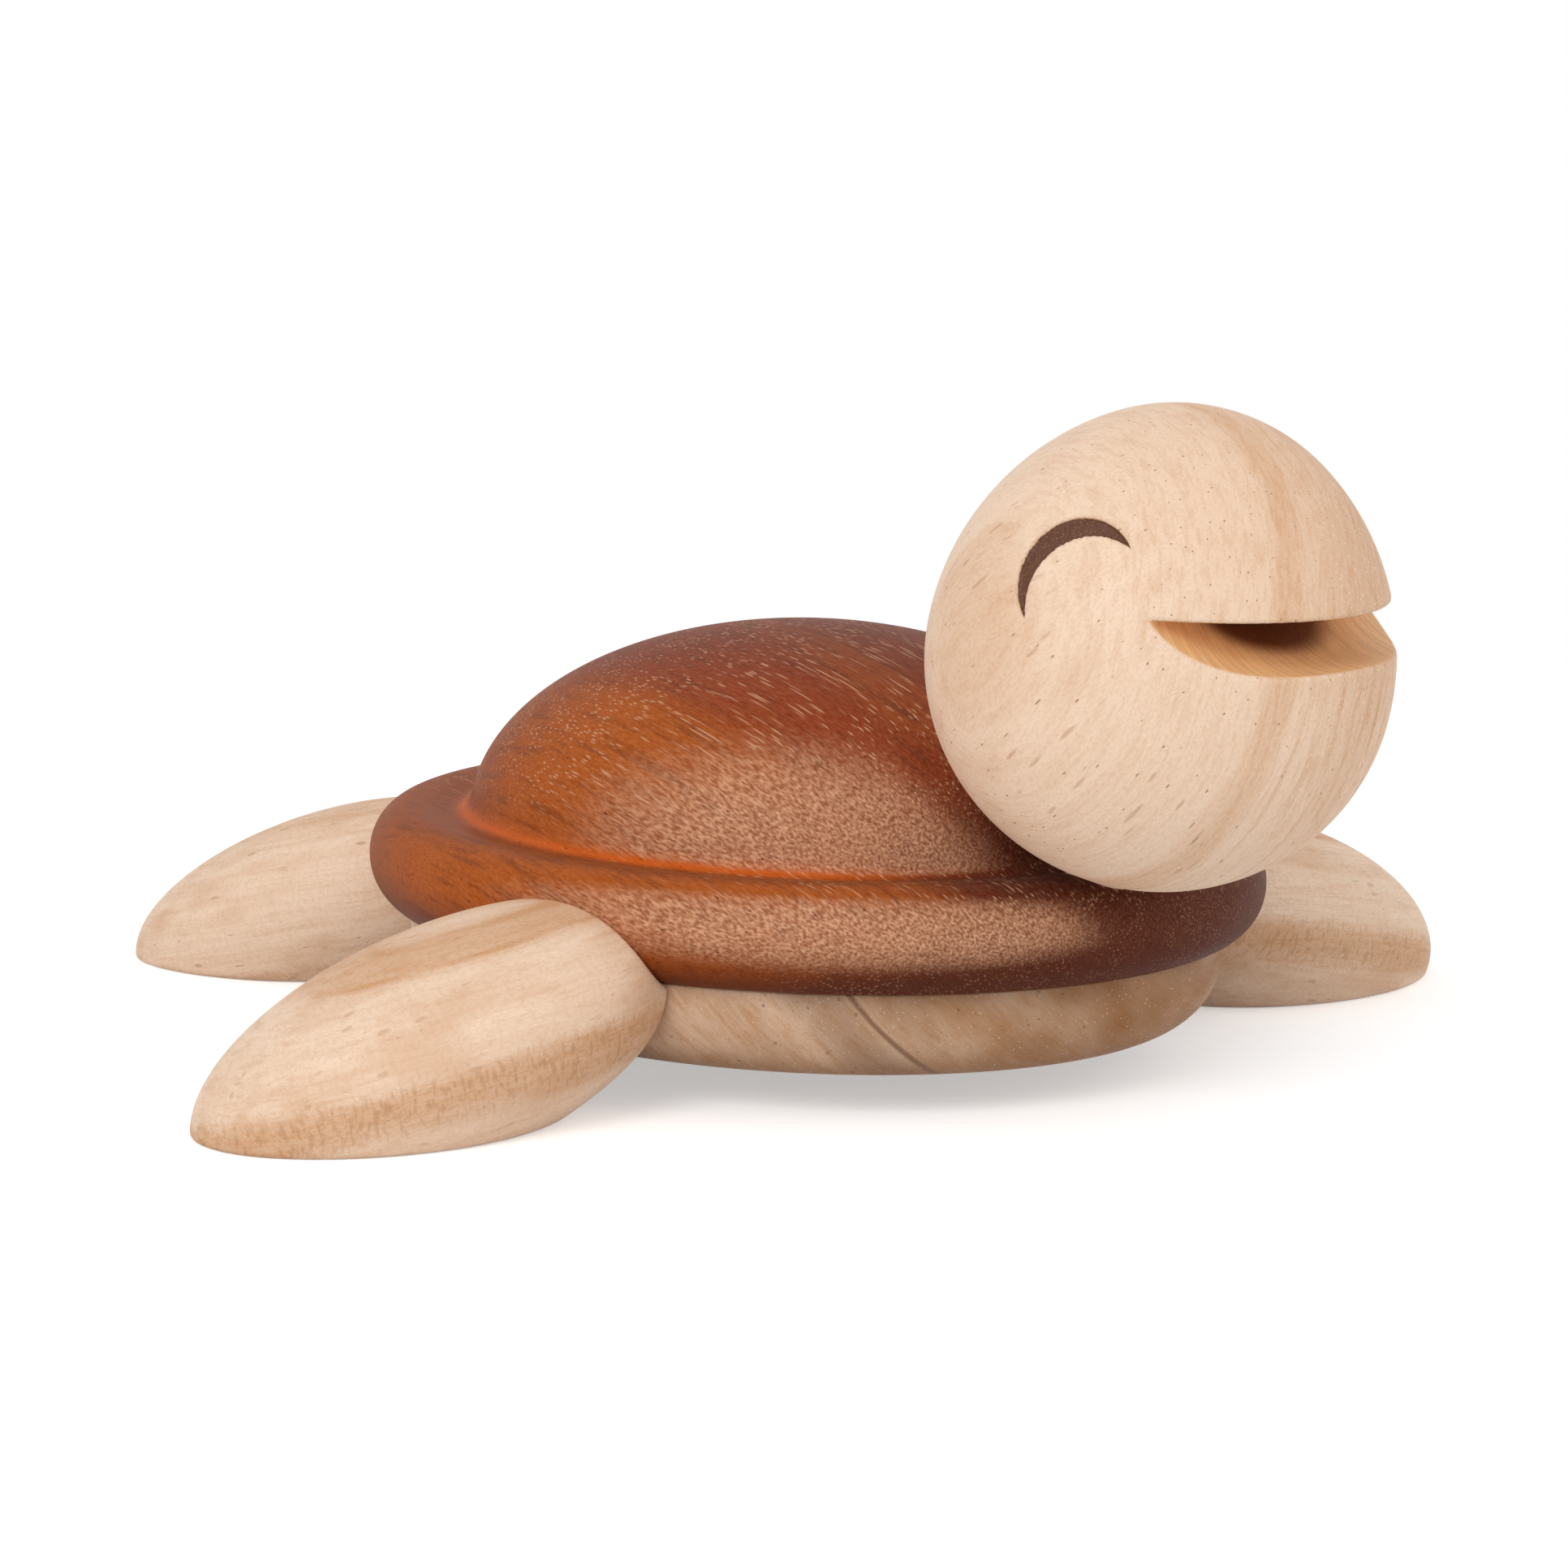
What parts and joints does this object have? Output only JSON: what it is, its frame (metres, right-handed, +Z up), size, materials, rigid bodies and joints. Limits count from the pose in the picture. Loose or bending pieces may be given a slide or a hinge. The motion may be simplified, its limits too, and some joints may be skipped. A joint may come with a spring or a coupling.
{
  "type": "turtle figurine",
  "caption": "Carved wooden turtle ornament with a dark domed shell on a paler belly, an egg-shaped smiling head that turns on a leaning neck peg, and splayed flat-soled flippers.",
  "frame": {"origin": "on the ground under the middle of the outline's box", "axes": "+Z up, -Y the way the turtle's body points, +X the turtle's left"},
  "size_m": [0.1722, 0.177, 0.0776],
  "materials": {
    "shell_wood": "satin",
    "belly_wood": "satin",
    "pale_wood": "satin",
    "dowel_wood": "plain"
  },
  "bodies": {
    "body": {"shell": "shell_wood", "belly": "belly_wood", "neck_peg": "dowel_wood", "front_left_flipper": "pale_wood", "front_right_flipper": "pale_wood", "rear_left_flipper": "pale_wood", "rear_right_flipper": "pale_wood", "front_left_dowel": "dowel_wood", "front_right_dowel": "dowel_wood", "rear_left_dowel": "dowel_wood", "rear_right_dowel": "dowel_wood"},
    "head": {"head": "pale_wood"}
  },
  "joints": [
    {"name": "head_turn", "type": "hinge", "parent": "body", "child": "head", "pos_m": [0, -0.06336, 0.04991], "axis": [0, -0.3404, 0.9403], "continuous": true}
  ]
}
